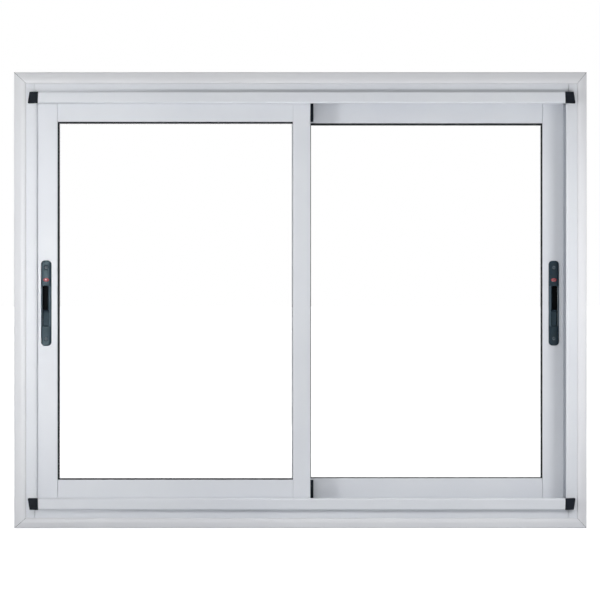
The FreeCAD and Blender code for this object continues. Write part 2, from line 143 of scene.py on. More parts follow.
# %% [markdown]
# ## Powder-coated aluminium
#
# The profiles are extruded aluminium with about 70 micrometres of white polyester powder, baked on. The
# film flows into a faint orange peel of shallow cells a millimetre or two wide, has a satin sheen, and its
# white leans to blue. One way would be an image of the texture. Noise on the object's own coordinates
# needs no image and has the same size on every profile. The cells are too shallow to see one by one from
# across a room, so they only soften the reflections. A bevel in the shading rounds the sharp edges that
# the extrusion die leaves at about half a millimetre.

# %% White coat
PEEL_CELL = 0.0016
PEEL_DEPTH = 0.00003
EDGE_ROUND = 0.0005
COAT_PATCH = 0.12
COAT_ROUGHNESS = 0.38
POLYMER_IOR = 1.5
TONE_STOPS = (0.35, 0.65)


def two_tones(tree, coordinates, size, tones, detail=2.0):
    """Slow change between two colours: smooth noise with patches of that size in metres.

    The noise gathers round one half, so the ramp between the colours takes up its middle part only.
    """
    noise = add(tree, "TexNoise", {"Vector": coordinates, "Scale": 1 / size, "Detail": detail})
    ramp = add(tree, "ValToRGB", {"Fac": noise.outputs["Fac"]})
    for stop, position, tone in zip(ramp.color_ramp.elements, TONE_STOPS, tones):
        stop.position = position
        stop.color = linear(tone)
    return ramp.outputs["Color"]


def relief(tree, coordinates, cell, depth, strength=1.0, rounding=EDGE_ROUND):
    """Normals of a bumpy skin over rounded edges: noise of that cell size and depth, both in metres."""
    edge = add(tree, "Bevel", {"Radius": rounding}, samples=4)
    noise = add(tree, "TexNoise", {"Vector": coordinates, "Scale": 1 / cell, "Detail": 1.0})
    bump = add(tree, "Bump", {
        "Height": noise.outputs["Fac"],
        "Distance": depth,
        "Strength": strength,
        "Normal": edge.outputs["Normal"],
    })
    return bump.outputs["Normal"]


def powder_coat(name, tones):
    """Satin polyester powder on aluminium, with patches of slightly thinner film."""
    material, tree = new_tree(name)
    place = add(tree, "TexCoord").outputs["Object"]
    shader = add(tree, "BsdfPrincipled", {
        "Base Color": two_tones(tree, place, COAT_PATCH, tones),
        "Roughness": COAT_ROUGHNESS,
        "IOR": POLYMER_IOR,
        "Normal": relief(tree, place, PEEL_CELL, PEEL_DEPTH),
    })
    finish_tree(tree, shader.outputs["BSDF"])
    return material


white_coat = powder_coat("powder coated aluminium", ("E2E5EB", "E5E8ED"))
white_trim = powder_coat("powder coated trim", ("E9EAEE", "ECEDF0"))
print("made", white_coat.name, "and", white_trim.name)

# %% [markdown]
# ## Moulded plastics and rubber
#
# The corner caps and end blocks are black ABS from a lightly etched mould. The handle is a dark nylon with
# glass fibre, a little glossier and with a blue-green sheen. A paler copy of the nylon on the trough's slope
# and the strips beside it is a painted highlight, and a dull black one on the pocket's floor and steep wall
# is painted shade. The lock indicator is a glossy red plastic. The gasket is extruded EPDM rubber, nearly
# black and dull. All of them are one kind of surface, so one function makes them from a colour pair, a
# roughness and a grain size.


# %% Plastics and rubber
PLASTIC_PATCH = 0.015
PLASTIC_ROUND = 0.0003


def moulded(name, tones, roughness, cell, depth, specular=0.5, sheen="FFFFFF"):
    """Plastic or rubber from an etched mould: a fine grain, a slight change of tone and a tinted sheen.

    The grain has that cell size and depth, both in metres.
    """
    material, tree = new_tree(name)
    place = add(tree, "TexCoord").outputs["Object"]
    shader = add(tree, "BsdfPrincipled", {
        "Base Color": two_tones(tree, place, PLASTIC_PATCH, tones),
        "Roughness": roughness,
        "IOR": POLYMER_IOR,
        "Specular IOR Level": specular,
        "Specular Tint": linear(sheen),
        "Normal": relief(tree, place, cell, depth, rounding=PLASTIC_ROUND),
    })
    finish_tree(tree, shader.outputs["BSDF"])
    return material


NYLON = {"roughness": 0.36, "cell": 0.0007, "depth": 0.00003, "sheen": "DCF8FF"}
ETCHED = {"cell": 0.0009, "depth": 0.00004}
FINE_ETCHED = {"cell": 0.0009, "depth": 0.00003}
POLISHED = {"cell": 0.0020, "depth": 0.00001}
EXTRUDED = {"cell": 0.0008, "depth": 0.00004}
WORN_MOULD = {"cell": 0.0010, "depth": 0.00003}
black_abs = moulded("black ABS", ("10141C", "161B24"), roughness=0.55, specular=0.12, **ETCHED)
handle_nylon = moulded("dark handle nylon", ("0C1824", "121F2D"), specular=0.37, **NYLON)
# Painted highlight: a paler copy of the handle nylon for the lit slope and the strips beside the trough.
nylon_painted_highlight = moulded("nylon painted highlight", ("475560", "525F6A"), specular=0.5, **NYLON)
slider_nylon = moulded("dark slider nylon", ("0C1926", "12202E"), specular=0.3, **NYLON)
# Painted shade: a black copy for the shaded floor and steep wall of the finger pocket.
pocket_painted_shade = moulded("finger pocket painted shade", ("06080B", "0A0C10"), roughness=0.6, specular=0.06,
                       **FINE_ETCHED)
red_plastic = moulded("red indicator plastic", ("8E2632", "9C2F3B"), roughness=0.2, specular=0.7,
                      **POLISHED)
rubber = moulded("EPDM rubber", ("15181C", "1B1E22"), roughness=0.7, specular=0.3, **EXTRUDED)
grey_nylon = moulded("grey nylon", ("7C8084", "86898D"), roughness=0.5, **WORN_MOULD)
PLASTICS = (black_abs, handle_nylon, nylon_painted_highlight, slider_nylon, pocket_painted_shade, red_plastic, rubber, grey_nylon)
print("made", [material.name for material in PLASTICS])

# %% [markdown]
# ## Glass, bright metal and pile
#
# Each sash holds two 4 mm panes of float glass. Float glass is clear and flat, and only a long, very
# shallow wave from the rollers of the tempering oven bends what is seen in it. The spacer bar and the
# screws are bright metal. The pile is a brush of fine grey fibres that stands across the gap.

# %% Glass, metal and pile
WAVES_PER_METRE = 3.3
WAVE_DEPTH, WAVE_STRENGTH = 0.0002, 0.3
GLASS_IOR = 1.52
METAL_PATCH = 0.02
LINE_LENGTH, LINE_SPACING = 0.03, 0.0004
LINE_DEPTH, LINE_STRENGTH = 0.00001, 0.6


def float_glass():
    """Clear glass with a very shallow wave of about 0.3 m."""
    material, tree = new_tree("clear float glass")
    place = add(tree, "TexCoord").outputs["Object"]
    wave = add(tree, "TexNoise", {"Vector": place, "Scale": WAVES_PER_METRE, "Detail": 0.0})
    bump = add(tree, "Bump", {
        "Height": wave.outputs["Fac"],
        "Distance": WAVE_DEPTH,
        "Strength": WAVE_STRENGTH,
    })
    shader = add(tree, "BsdfPrincipled", {
        "Base Color": (1.0, 1.0, 1.0, 1.0),
        "Roughness": 0.0,
        "IOR": GLASS_IOR,
        "Transmission Weight": 1.0,
        "Normal": bump.outputs["Normal"],
    })
    finish_tree(tree, shader.outputs["BSDF"])
    return material


def bright_metal(name, tones, roughness):
    """Bare metal with lines from rolling or turning, drawn far enough apart to show."""
    material, tree = new_tree(name)
    place = add(tree, "TexCoord").outputs["Object"]
    stretch = (1 / LINE_LENGTH, 1 / LINE_SPACING, 1 / LINE_SPACING)
    lines = add(tree, "Mapping", {"Vector": place, "Scale": stretch})
    noise = add(tree, "TexNoise", {"Vector": lines.outputs["Vector"], "Scale": 1.0, "Detail": 1.0})
    bump = add(tree, "Bump", {
        "Height": noise.outputs["Fac"],
        "Distance": LINE_DEPTH,
        "Strength": LINE_STRENGTH,
    })
    shader = add(tree, "BsdfPrincipled", {
        "Base Color": two_tones(tree, place, METAL_PATCH, tones),
        "Metallic": 1.0,
        "Roughness": roughness,
        "Normal": bump.outputs["Normal"],
    })
    finish_tree(tree, shader.outputs["BSDF"])
    return material


clear_glass = float_glass()
spacer_metal = bright_metal("mill finish aluminium", ("B4B8BC", "C2C5C8"), roughness=0.35)
screw_steel = bright_metal("stainless screw", ("8E949A", "A2A7AC"), roughness=0.3)
black_screw = moulded("dark screw head", ("3A4650", "46525D"), roughness=0.3, cell=0.0006,
                      depth=0.00003, specular=0.6)
pile_fibre = moulded("pile fibre", ("6B6E73", "85888C"), roughness=0.9, cell=0.0005,
                     depth=0.0002, specular=0.1)
METALS_AND_REST = (clear_glass, spacer_metal, screw_steel, black_screw, pile_fibre)
print("made", [material.name for material in METALS_AND_REST])

# %% [markdown]
# ## Finishes on the CAD pieces
#
# The record names a finish for every piece by its slot. Here a piece's slot is found from the words in its
# name, and one table gives each slot its material; a piece with none of the words gets the white coat, so no
# piece is forgotten.

# %% Give each CAD piece its material
FINISHES = {
    "white_coat": white_coat,
    "white_trim": white_trim,
    "clear_glass": clear_glass,
    "spacer_metal": spacer_metal,
    "dark_gasket": rubber,
    "grey_nylon": grey_nylon,
    "dark_handle": handle_nylon,
    "red_indicator": red_plastic,
    "black_cap": black_abs,
    "grey_pile": pile_fibre,
}


def slot_of(name):
    """Slot of a CAD piece, from the words in its name."""
    words = {
        "trim_": "white_trim",
        "corner_cap": "black_cap",
        "glass": "clear_glass",
        "spacer": "spacer_metal",
        "gasket": "dark_gasket",
        "rollers": "grey_nylon",
        "top_guides": "grey_nylon",
        "handle_case": "dark_handle",
        "latch_slider": "dark_handle",
        "lock_indicator": "red_indicator",
        "end_blocks": "black_cap",
        "pile_strips": "grey_pile",
    }
    return next((slot for word, slot in words.items() if word in name), "white_coat")


for name, piece in nodes.items():
    piece.data.materials.clear()
    piece.data.materials.append(FINISHES[slot_of(name)])
print("dressed", len(nodes), "CAD pieces")

# %% [markdown]
# ## Shapes as grids of points
#
# Every new piece is a surface with two parameters: one counts rows and one counts points along a row. It
# could be pushed and pulled by hand from a cube, but then no size could be read or changed later. Here
# numpy works out a whole grid at once, one function turns the grid into faces, and another makes the
# object: it welds doubled points, turns the faces outwards and gives the piece its body and finish.

# %% From grids to pieces
MM = 0.001
WELD = 0.000002
SHARP_ANGLE = math.radians(42)


def grid_faces(rows, columns):
    """Quads between neighbouring rows; each row is a closed loop, so its last point joins its first."""
    index = np.arange(rows * columns).reshape(rows, columns)
    index = np.column_stack([index, index[:, 0]])
    corners = [index[:-1, :-1], index[:-1, 1:], index[1:, 1:], index[1:, :-1]]
    return np.stack(corners, axis=-1).reshape(-1, 4)


def make_piece(name, grids, material, body, replaced=()):
    """Mesh object of one or more grids (rows, points, xyz) in metres, riding on its body."""
    points = np.concatenate([grid.reshape(-1, 3) for grid in grids])
    starts = np.cumsum([0] + [grid[..., 0].size for grid in grids[:-1]])
    faces = [grid_faces(*grid.shape[:2]) + start for grid, start in zip(grids, starts)]
    mesh = bpy.data.meshes.new(name)
    mesh.from_pydata(points.tolist(), [], np.concatenate(faces).tolist())
    cleaned = bmesh.new()
    cleaned.from_mesh(mesh)
    bmesh.ops.remove_doubles(cleaned, verts=cleaned.verts, dist=WELD)
    bmesh.ops.recalc_face_normals(cleaned, faces=cleaned.faces)
    cleaned.to_mesh(mesh)
    cleaned.free()
    mesh.polygons.foreach_set("use_smooth", np.ones(len(mesh.polygons), bool))
    mesh.set_sharp_from_angle(angle=SHARP_ANGLE)
    mesh.materials.append(material)
    piece = bpy.data.objects.new(name, mesh)
    bpy.context.scene.collection.objects.link(piece)
    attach(piece, body)
    if replaced:
        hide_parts(*replaced)
    return piece


print("faces of a 3 by 4 grid", len(grid_faces(3, 4)))

# %% [markdown]
# ## Rounded outlines
#
# Moulded parts are drawn from rounded outlines: the plate of a handle, its trough, a cap. If two outlines
# have the same number of points at each corner and along each side, the points between them can be mixed
# one by one, and the rows of a smooth surface appear. The distance to such an outline has a short formula
# too, and it shapes rims and lips.


# %% Outlines and rims
def rounded_loop(corners, radius, arc_steps, side_steps):
    """Closed outline with rounded corners, and with side_steps[i] steps along side i.

    An arc's centre lies radius / sin(half angle) inside its corner. Its points are the mix
    sin((1 - t) * turn) / sin(turn) of its start and sin(t * turn) / sin(turn) of its end.
    """
    corners = np.array(corners, float)
    back = np.roll(corners, 1, axis=0) - corners
    ahead = np.roll(corners, -1, axis=0) - corners
    back /= np.linalg.norm(back, axis=1, keepdims=True)
    ahead /= np.linalg.norm(ahead, axis=1, keepdims=True)
    half = np.arccos((back * ahead).sum(axis=1)) / 2
    bisector = (back + ahead) / np.linalg.norm(back + ahead, axis=1, keepdims=True)
    centre = corners + bisector * (radius / np.sin(half))[:, None]
    start = corners + back * (radius / np.tan(half))[:, None]
    end = corners + ahead * (radius / np.tan(half))[:, None]
    turn = (math.pi - 2 * half)[:, None]
    t = np.linspace(0, 1, arc_steps + 1)
    first = (np.sin((1 - t) * turn) / np.sin(turn))[..., None]
    last = (np.sin(t * turn) / np.sin(turn))[..., None]
    arcs = centre[:, None] + first * (start - centre)[:, None] + last * (end - centre)[:, None]
    loop = []
    for side, steps in enumerate(side_steps):
        way = np.linspace(0, 1, steps + 1)[1:-1, None]
        loop += [arcs[side], end[side] + way * (np.roll(start, -1, axis=0)[side] - end[side])]
    return np.concatenate(loop)


def box_corners(half_a, low_b, high_b):
    """Corners of an upright rectangle, anticlockwise from its lower left."""
    return [(-half_a, low_b), (half_a, low_b), (half_a, high_b), (-half_a, high_b)]


def outline_distance(a, b, half_a, low_b, high_b, radius):
    """Distance outside a rounded rectangle, negative inside it: length of the overshoot less the radius."""
    over_a = np.abs(a) - half_a + radius
    over_b = np.abs(b - (low_b + high_b) / 2) - (high_b - low_b) / 2 + radius
    outside = np.hypot(np.maximum(over_a, 0), np.maximum(over_b, 0))
    return outside + np.minimum(np.maximum(over_a, over_b), 0) - radius


def rim_drop(distance, width, depth):
    """Fall of a rounded rim: a quarter ellipse, deepest at the edge and flat at the given width."""
    share = 1 - np.clip(distance / width, 0, 1)
    return depth * (1 - np.sqrt(1 - share ** 2))


def smooth_step(value, low, high):
    """0 below low, 1 above high, and 3 t^2 - 2 t^3 between them."""
    t = np.clip((value - low) / (high - low), 0, 1)
    return t * t * (3 - 2 * t)


def between(value, low, high, soft):
    """1 between low and high and 0 outside, with smooth steps of that length inside both ends."""
    return smooth_step(value, low, low + soft) * (1 - smooth_step(value, high - soft, high))


def on_wall(origin, a, b, height):
    """Places a grid on a face that looks into the room: a along X, b up, height towards the room, in mm."""
    return np.stack([origin[0] + a * MM, origin[1] - height * MM, origin[2] + b * MM], axis=-1)


print("rim drop at its edge and inside", rim_drop(np.array([0.0, 3.0]), 3.0, 1.7))

# %% [markdown]
# ## The flush handle
#
# The handle is one nylon moulding: a long plate with a soft crown and a rounded rim, and a deep trough for
# the fingertips. One side of the trough falls steeply and the other slopes, so a finger finds a grip. Two
# oval seats hold the screws, two short raised ticks stand under the indicator, and fine lines run below
# the slider. A plate cut by boolean shapes would leave hard, jagged edges. Here closed rows lead from the
# back of the moulding over the rim, across the face, over the lip and down the trough, so the whole skin
# is one closed surface. All seats and ticks are a height over the stile, added up in one formula.

# %% Handle plates
PLATE_RADIUS = 8.0
PLATE_CROWN, SIDE_FALL = 0.7, 1.5
RIM_WIDTH, RIM_DEPTH = 2.2, 1.1
LIP_WIDTH, LIP_DEPTH = 0.9, 0.9
# Band beside the trough that gets the painted highlight, in mm from its outline.
HIGHLIGHT_FROM, HIGHLIGHT_TO = 0.3, 2.6
TROUGH_RADIUS = 2.6
TROUGH_WIDER = 0.8
TROUGH_DEPTH = 12.0
GUIDE_DEPTH = 4.2
TROUGH_SLOPE = 5.5
SLOPE_SEEN = 4.0
SKIN = 1.2
SLIDER_GAP = 0.3
INDICATOR_TO_TROUGH = 12.8
SCREW_INSET = 14.5
SEAT_HALF = (4.6, 5.8)
SEAT_DEPTH, SEAT_FLAT = 0.9, 0.5
TICK_PLACE, TICK_WIDTH, TICK_HEIGHT = 1.4, 0.4, 0.4
TICK_FROM, TICK_TO, TICK_SOFT = 1.0, 5.8, 0.8
GRIP_PITCH, GRIP_HEIGHT, GRIP_HALF = 2.2, 0.12, 5.4
GRIP_FROM, GRIP_TO, GRIP_SOFT = 2.0, 19.0, 1.0
SIDE_SOFT = 0.8
MIDDLE_INSET = 3.0
FACE_ROWS, WALL_ROWS = 110, 24
LOOP_STEPS = (14, (16, 48, 16, 48))
PAINT_MARGIN = 0.05


def handle_sizes(sash):
    """Origin on the stile's face at the plate's middle, and the plate's and trough's extents in mm."""
    low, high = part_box(sash + "_handle_case")
    stile_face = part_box(sash + "_handle_stile")[0].y
    origin = ((low.x + high.x) / 2, stile_face, (low.z + high.z) / 2)
    slide_low, slide_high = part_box(sash + "_latch_slider")
    lens_low, lens_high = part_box(sash + "_lock_indicator")
    lens_middle = ((lens_low.z + lens_high.z) / 2 - origin[2]) / MM
    slider_half = (slide_high.x - slide_low.x) / 2 / MM
    toward_middle = -1 if origin[0] > 0 else 1
    return {
        "origin": origin,
        "half_width": (high.x - low.x) / 2 / MM,
        "half_length": (high.z - low.z) / 2 / MM,
        "proud": (stile_face - low.y) / MM,
        "slider_half": slider_half,
        "trough_half": slider_half + SLIDER_GAP + TROUGH_WIDER,
        "trough_shift": -TROUGH_WIDER * toward_middle,
        "trough_low": (slide_low.z - origin[2]) / MM - SLIDER_GAP,
        "trough_high": lens_middle - INDICATOR_TO_TROUGH,
        "slider_high": (slide_high.z - origin[2]) / MM,
        "lens_middle": lens_middle,
        "toward_middle": toward_middle,
    }


def plate_height(sizes, a, b):
    """Height of the face: proud + crown - side fall * (a / half)^4, less rim, lip and seats, plus lines."""
    half, length = sizes["half_width"], sizes["half_length"]
    trough = (sizes["trough_half"], sizes["trough_low"], sizes["trough_high"], TROUGH_RADIUS)
    height = sizes["proud"] + PLATE_CROWN - SIDE_FALL * (a / half) ** 4
    height -= rim_drop(-outline_distance(a, b, half, -length, length, PLATE_RADIUS), RIM_WIDTH, RIM_DEPTH)
    height -= rim_drop(outline_distance(a - sizes["trough_shift"], b, *trough), LIP_WIDTH, LIP_DEPTH)
    for seat in (SCREW_INSET - length, length - SCREW_INSET):
        share = np.hypot(a / SEAT_HALF[0], (b - seat) / SEAT_HALF[1])
        height -= SEAT_DEPTH * (1 - smooth_step(share, SEAT_FLAT, 1.0))
    ticks = TICK_HEIGHT * np.exp(-((np.abs(a) - TICK_PLACE) / TICK_WIDTH) ** 2)
    height += ticks * between(b - sizes["trough_high"], TICK_FROM, TICK_TO, TICK_SOFT)
    lines = GRIP_HEIGHT * np.cos(2 * math.pi * a / GRIP_PITCH) * between(a, -GRIP_HALF, GRIP_HALF, SIDE_SOFT)
    return height + lines * between(sizes["trough_low"] - b, GRIP_FROM, GRIP_TO, GRIP_SOFT)


def handle_plate(sash):
    """Closed skin of the moulding, from the middle of its back round to the floor of the trough."""
    sizes = handle_sizes(sash)
    half, length = sizes["half_width"], sizes["half_length"]
    trough_half, low, high = (sizes[key] for key in ("trough_half", "trough_low", "trough_high"))
    plate = rounded_loop(box_corners(half, -length, length), PLATE_RADIUS, *LOOP_STEPS)
    trough = rounded_loop(box_corners(trough_half, low, high), TROUGH_RADIUS, *LOOP_STEPS)
    behind = box_corners(trough_half + SKIN, low - SKIN, high + SKIN)
    insert = rounded_loop(behind, TROUGH_RADIUS, *LOOP_STEPS)
    slope = TROUGH_SLOPE * sizes["toward_middle"]
    floor = trough * (1 - TROUGH_SLOPE / 2 / trough_half, 1) - (slope / 2, 0)
    along = np.clip(trough[:, 1], low + MIDDLE_INSET, high - MIDDLE_INSET)
    middle_line = np.column_stack([np.full_like(along, -slope / 2), along])
    for loop in (trough, insert, floor, middle_line):
        loop[:, 0] += sizes["trough_shift"]
    back = -TROUGH_DEPTH - SKIN
    rows = [(middle_line, back), (insert, back), (insert, 0.0), (plate, 0.0)]
    origin = sizes["origin"]
    grids = [on_wall(origin, loop[:, 0], loop[:, 1], np.full(len(loop), depth)) for loop, depth in rows]
    share = (0.5 - 0.5 * np.cos(np.linspace(0, math.pi, FACE_ROWS)))[:, None, None]
    face = plate * (1 - share) + trough * share
    height = plate_height(sizes, face[..., 0], face[..., 1])
    lip = height[-1]
    down = np.linspace(0, 1, WALL_ROWS)[1:, None]
    depth = lip * (1 - down) - TROUGH_DEPTH * down
    inward = smooth_step(sizes["proud"] - depth, GUIDE_DEPTH, TROUGH_DEPTH + sizes["proud"])[..., None]
    wall = trough * (1 - inward) + floor * inward
    grids += list(on_wall(origin, face[..., 0], face[..., 1], height))
    grids += list(on_wall(origin, wall[..., 0], wall[..., 1], depth))
    grids.append(on_wall(origin, middle_line[:, 0], middle_line[:, 1], np.full(len(floor), -TROUGH_DEPTH)))
    piece = make_piece(sash + "_handle_plate", [np.stack(grids)], handle_nylon, sash + "_sash",
                       [sash + "_handle_case"])
    paint_plate(piece, sizes)
    return sizes


def paint_plate(plate, sizes):
    """Painted shade in black on the pocket's floor and steep wall, painted highlight on its slope and side
    strips.
    """
    plate.data.materials.append(pocket_painted_shade)
    plate.data.materials.append(nylon_painted_highlight)
    centre = np.empty(3 * len(plate.data.polygons))
    plate.data.polygons.foreach_get("center", centre)
    x, y, z = ((centre.reshape(-1, 3) - sizes["origin"]) / MM).T
    trough = (sizes["trough_half"], sizes["trough_low"], sizes["trough_high"], TROUGH_RADIUS)
    distance = outline_distance(x - sizes["trough_shift"], z, *trough)
    toward_middle = (x - sizes["trough_shift"]) * sizes["toward_middle"]
    pocket = (distance < PAINT_MARGIN) & (-y < 0)
    # Painted shade: the floor and steep wall of the trough, away from its lit slope, get the black copy.
    black = pocket & (toward_middle < sizes["trough_half"] - SLOPE_SEEN)
    beside = (z > sizes["trough_low"]) & (z < sizes["trough_high"]) & (-y > 0)
    # Painted highlight: the trough's lit slope and the strips beside it get the paler copy.
    edge = (pocket & ~black) | (beside & (distance > HIGHLIGHT_FROM) & (distance < HIGHLIGHT_TO))
    plate.data.polygons.foreach_set("material_index", (black + 2 * edge).astype(np.int32))


HANDLES = {sash: handle_plate(sash) for sash in ("front", "rear")}
print("trough from and to, in mm from the handle's middle",
      [round(HANDLES["front"][key], 1) for key in ("trough_low", "trough_high")])

# %% [markdown]
# ## The thumb slider
#
# The slider closes the foot of the trough and moves up to free the latch. It is a shallow dish with a
# strong ridge at its upper end for the thumb, a low one at its foot and fine ribs between them. It is made
# as the plate is: closed rows run from the back over the rounded edge to the middle line, and one formula
# gives the height. Its sides stay at least 0.3 mm clear of the trough, so it can slide.

# %% Thumb sliders
SLIDER_RADIUS = 2.3
SLIDER_BACK = -3.0
SLIDER_RIM_WIDTH, SLIDER_RIM_DEPTH = 0.8, 0.7
DISH_RISE, DISH_HALF = 0.35, 6.0
RIDGE_HEIGHT, RIDGE_PLACE, RIDGE_WIDTH = 2.3, 2.6, 1.9
FOOT_HEIGHT, FOOT_WIDTH = 1.1, 2.2
RIB_PITCH, RIB_HEIGHT, RIB_HALF = 2.6, 0.14, 5.0
RIBS_FROM_FOOT, RIBS_FROM_TOP = (4.0, 6.0), (6.0, 8.0)
SLIDER_ROWS = 36
SLIDER_STEPS = (10, (16, 90, 16, 90))


def slider_height(a, b, low, high):
    """Dish, plus a bell-shaped ridge near the top, half a bell at the foot and a wave of ribs between."""
    height = DISH_RISE * (a / DISH_HALF) ** 2
    height += RIDGE_HEIGHT * np.exp(-((b - high + RIDGE_PLACE) / RIDGE_WIDTH) ** 2)
    height += FOOT_HEIGHT * np.exp(-((b - low) / FOOT_WIDTH) ** 2)
    ribs = RIB_HEIGHT * np.cos(2 * math.pi * (b - low) / RIB_PITCH)
    ribs *= between(a, -RIB_HALF, RIB_HALF, SIDE_SOFT)
    return height + ribs * smooth_step(b - low, *RIBS_FROM_FOOT) * smooth_step(high - b, *RIBS_FROM_TOP)


def thumb_slider(sash):
    """Closed skin of the slider, from the middle of its back round to its middle line in front."""
    sizes = HANDLES[sash]
    low = sizes["trough_low"] + SLIDER_GAP
    high = sizes["slider_high"]
    half = sizes["slider_half"]
    edge = rounded_loop(box_corners(half, low, high), SLIDER_RADIUS, *SLIDER_STEPS)
    line = np.column_stack([np.zeros(len(edge)), np.clip(edge[:, 1], low + half, high - half)])
    share = (0.5 - 0.5 * np.cos(np.linspace(0, math.pi, SLIDER_ROWS)))[:, None, None]
    face = edge * (1 - share) + line * share
    distance = -outline_distance(face[..., 0], face[..., 1], half, low, high, SLIDER_RADIUS)
    height = slider_height(face[..., 0], face[..., 1], low, high)
    height -= rim_drop(distance, SLIDER_RIM_WIDTH, SLIDER_RIM_DEPTH)
    back = np.full(len(edge), SLIDER_BACK)
    grids = [on_wall(sizes["origin"], loop[:, 0], loop[:, 1], back) for loop in (line, edge)]
    grids += list(on_wall(sizes["origin"], face[..., 0], face[..., 1], height))
    return make_piece(sash + "_thumb_slider", [np.stack(grids)], slider_nylon, sash + "_latch",
                      [sash + "_latch_slider"])


SLIDERS = [thumb_slider(sash) for sash in HANDLES]
print("slider length in mm", [round(1000 * piece.dimensions.z, 1) for piece in SLIDERS])

# %% [markdown]
# ## Lens and screws
#
# The lock indicator is a glossy red lens that bulges out of the plate: an ellipse with a dome on it. The
# screws have oval heads with a cross recess and sit in the plate's seats. Both are discs in polar
# coordinates, a distance from the middle and an angle, with the height as a formula of the two, so a cross
# needs no cutting: the height simply drops where the point lies in one of its two bars.

# %% Lenses and screw heads
LENS_HALF = (7.2, 4.7)
LENS_BASE, LENS_DOME = 1.7, 1.7
LENS_GRID = (20, 72)
SCREW_RADIUS = 3.7
SCREW_CROWN = 0.7
SCREW_GRID = (24, 96)
SCREW_TURNS = (0.3, 1.1)
CROSS_WIDE, CROSS_SIDE = 0.65, 0.3
CROSS_LONG, CROSS_END = 2.0, 0.5
CROSS_DEPTH = 0.9


def disc(rings, points):
    """Shares of the radius as a column, from rim to middle, and angles as a row."""
    share = np.sin(np.linspace(math.pi / 2, 0, rings))[:, None]
    angle = np.linspace(0, 2 * math.pi, points, endpoint=False)[None, :]
    return share, angle


def red_lens(sash):
    """Ellipse with the height base + dome * sqrt(1 - share^2), closed by a flat back."""
    sizes = HANDLES[sash]
    share, angle = disc(*LENS_GRID)
    a = LENS_HALF[0] * share * np.cos(angle)
    b = LENS_HALF[1] * share * np.sin(angle) + sizes["lens_middle"]
    height = LENS_BASE + LENS_DOME * np.sqrt(1 - share ** 2) + 0 * angle
    front = on_wall(sizes["origin"], a, b, height)
    back = on_wall(sizes["origin"], a[:1] * 0, a[:1] * 0 + sizes["lens_middle"], height[:1])
    return make_piece(sash + "_indicator_lens", [np.concatenate([back, front])], red_plastic, sash + "_sash",
                      [sash + "_lock_indicator"])


def screw_head(radius, crown, turned):
    """Local a, b and height of an oval head: crown * (1 - share^2) less the cross, over a flat back."""
    share, angle = disc(*SCREW_GRID)
    a = radius * share * np.cos(angle)
    b = radius * share * np.sin(angle)
    along = a * math.cos(turned) + b * math.sin(turned)
    across = b * math.cos(turned) - a * math.sin(turned)
    bar = np.zeros_like(a)
    for u, v in ((along, across), (across, along)):
        inside = between(u, -CROSS_WIDE, CROSS_WIDE, CROSS_SIDE)
        bar = np.maximum(bar, inside * between(v, -CROSS_LONG, CROSS_LONG, CROSS_END))
    height = crown * (1 - share ** 2) - CROSS_DEPTH * bar
    back = [np.zeros_like(a[:1]), np.zeros_like(a[:1]), np.full_like(a[:1], -crown)]
    rim = [a[:1], b[:1], np.full_like(a[:1], -crown)]
    return [np.concatenate(group) for group in zip(back, rim, (a, b, height))]


def handle_screws(sash):
    """Two screws in the plate's seats, each turned by another angle as hands leave them."""
    sizes = HANDLES[sash]
    heads = []
    for sign, turned in zip((-1, 1), SCREW_TURNS):
        a, b, height = screw_head(SCREW_RADIUS, SCREW_CROWN, turned)
        seat = sign * (sizes["half_length"] - SCREW_INSET)
        heads.append(on_wall(sizes["origin"], a, b + seat, height + sizes["proud"]))
    return make_piece(sash + "_handle_screws", heads, black_screw, sash + "_sash")


LENSES = [red_lens(sash) for sash in HANDLES]
HANDLE_SCREWS = [handle_screws(sash) for sash in HANDLES]
print("made", [piece.name for piece in LENSES + HANDLE_SCREWS])

# %% [markdown]
# ## The rubber gaskets
#
# A strip of black EPDM is rolled in between the glass and the aluminium on both faces. Its lip is drawn as
# wide as the dark line beside the glass, and that line also holds the shade in the glazing recess, so the
# lips are partly rubber and partly painted shade: wide at the top and thinner at the foot, and nearly hidden
# at the front sash's meeting stile. A table gives each side its own lip in millimetres. Mitred strips with
# one shared section make it: each point of the section has a share of the lip that it reaches over the
# glass and a depth, and is carried round the four corners of the glass opening.

# %% Gaskets
# Lips in mm per side; where they differ from side to side, they paint the shade in the glazing recess.
LIPS = {
    "front": {"handle": 2.8, "meeting": 0.4, "bottom": 2.1, "top": 3.0},
    "rear": {"handle": 2.2, "meeting": 3.8, "bottom": 1.0, "top": 3.6},
}
WALL = 1.6
UNIT_HALF = 8.0
GASKET_BITE = 3.0
GROOVE_DEPTH = 0.25
GROOVE_PLACE, GROOVE_WIDTH = 0.45, 0.07
GASKET_CLEAR = 0.02
ARC_POINTS = 15


def gasket_section(height):
    """Share of the lip and depth over the glass: a quarter ellipse with one fine groove, closed behind."""
    turn = np.linspace(0, math.pi / 2, ARC_POINTS)
    share = np.sin(turn)
    groove = GROOVE_DEPTH * np.exp(-((share - GROOVE_PLACE) / GROOVE_WIDTH) ** 2)
    return np.append(share, 0.0), np.append(height * np.cos(turn) - groove, 0.0)


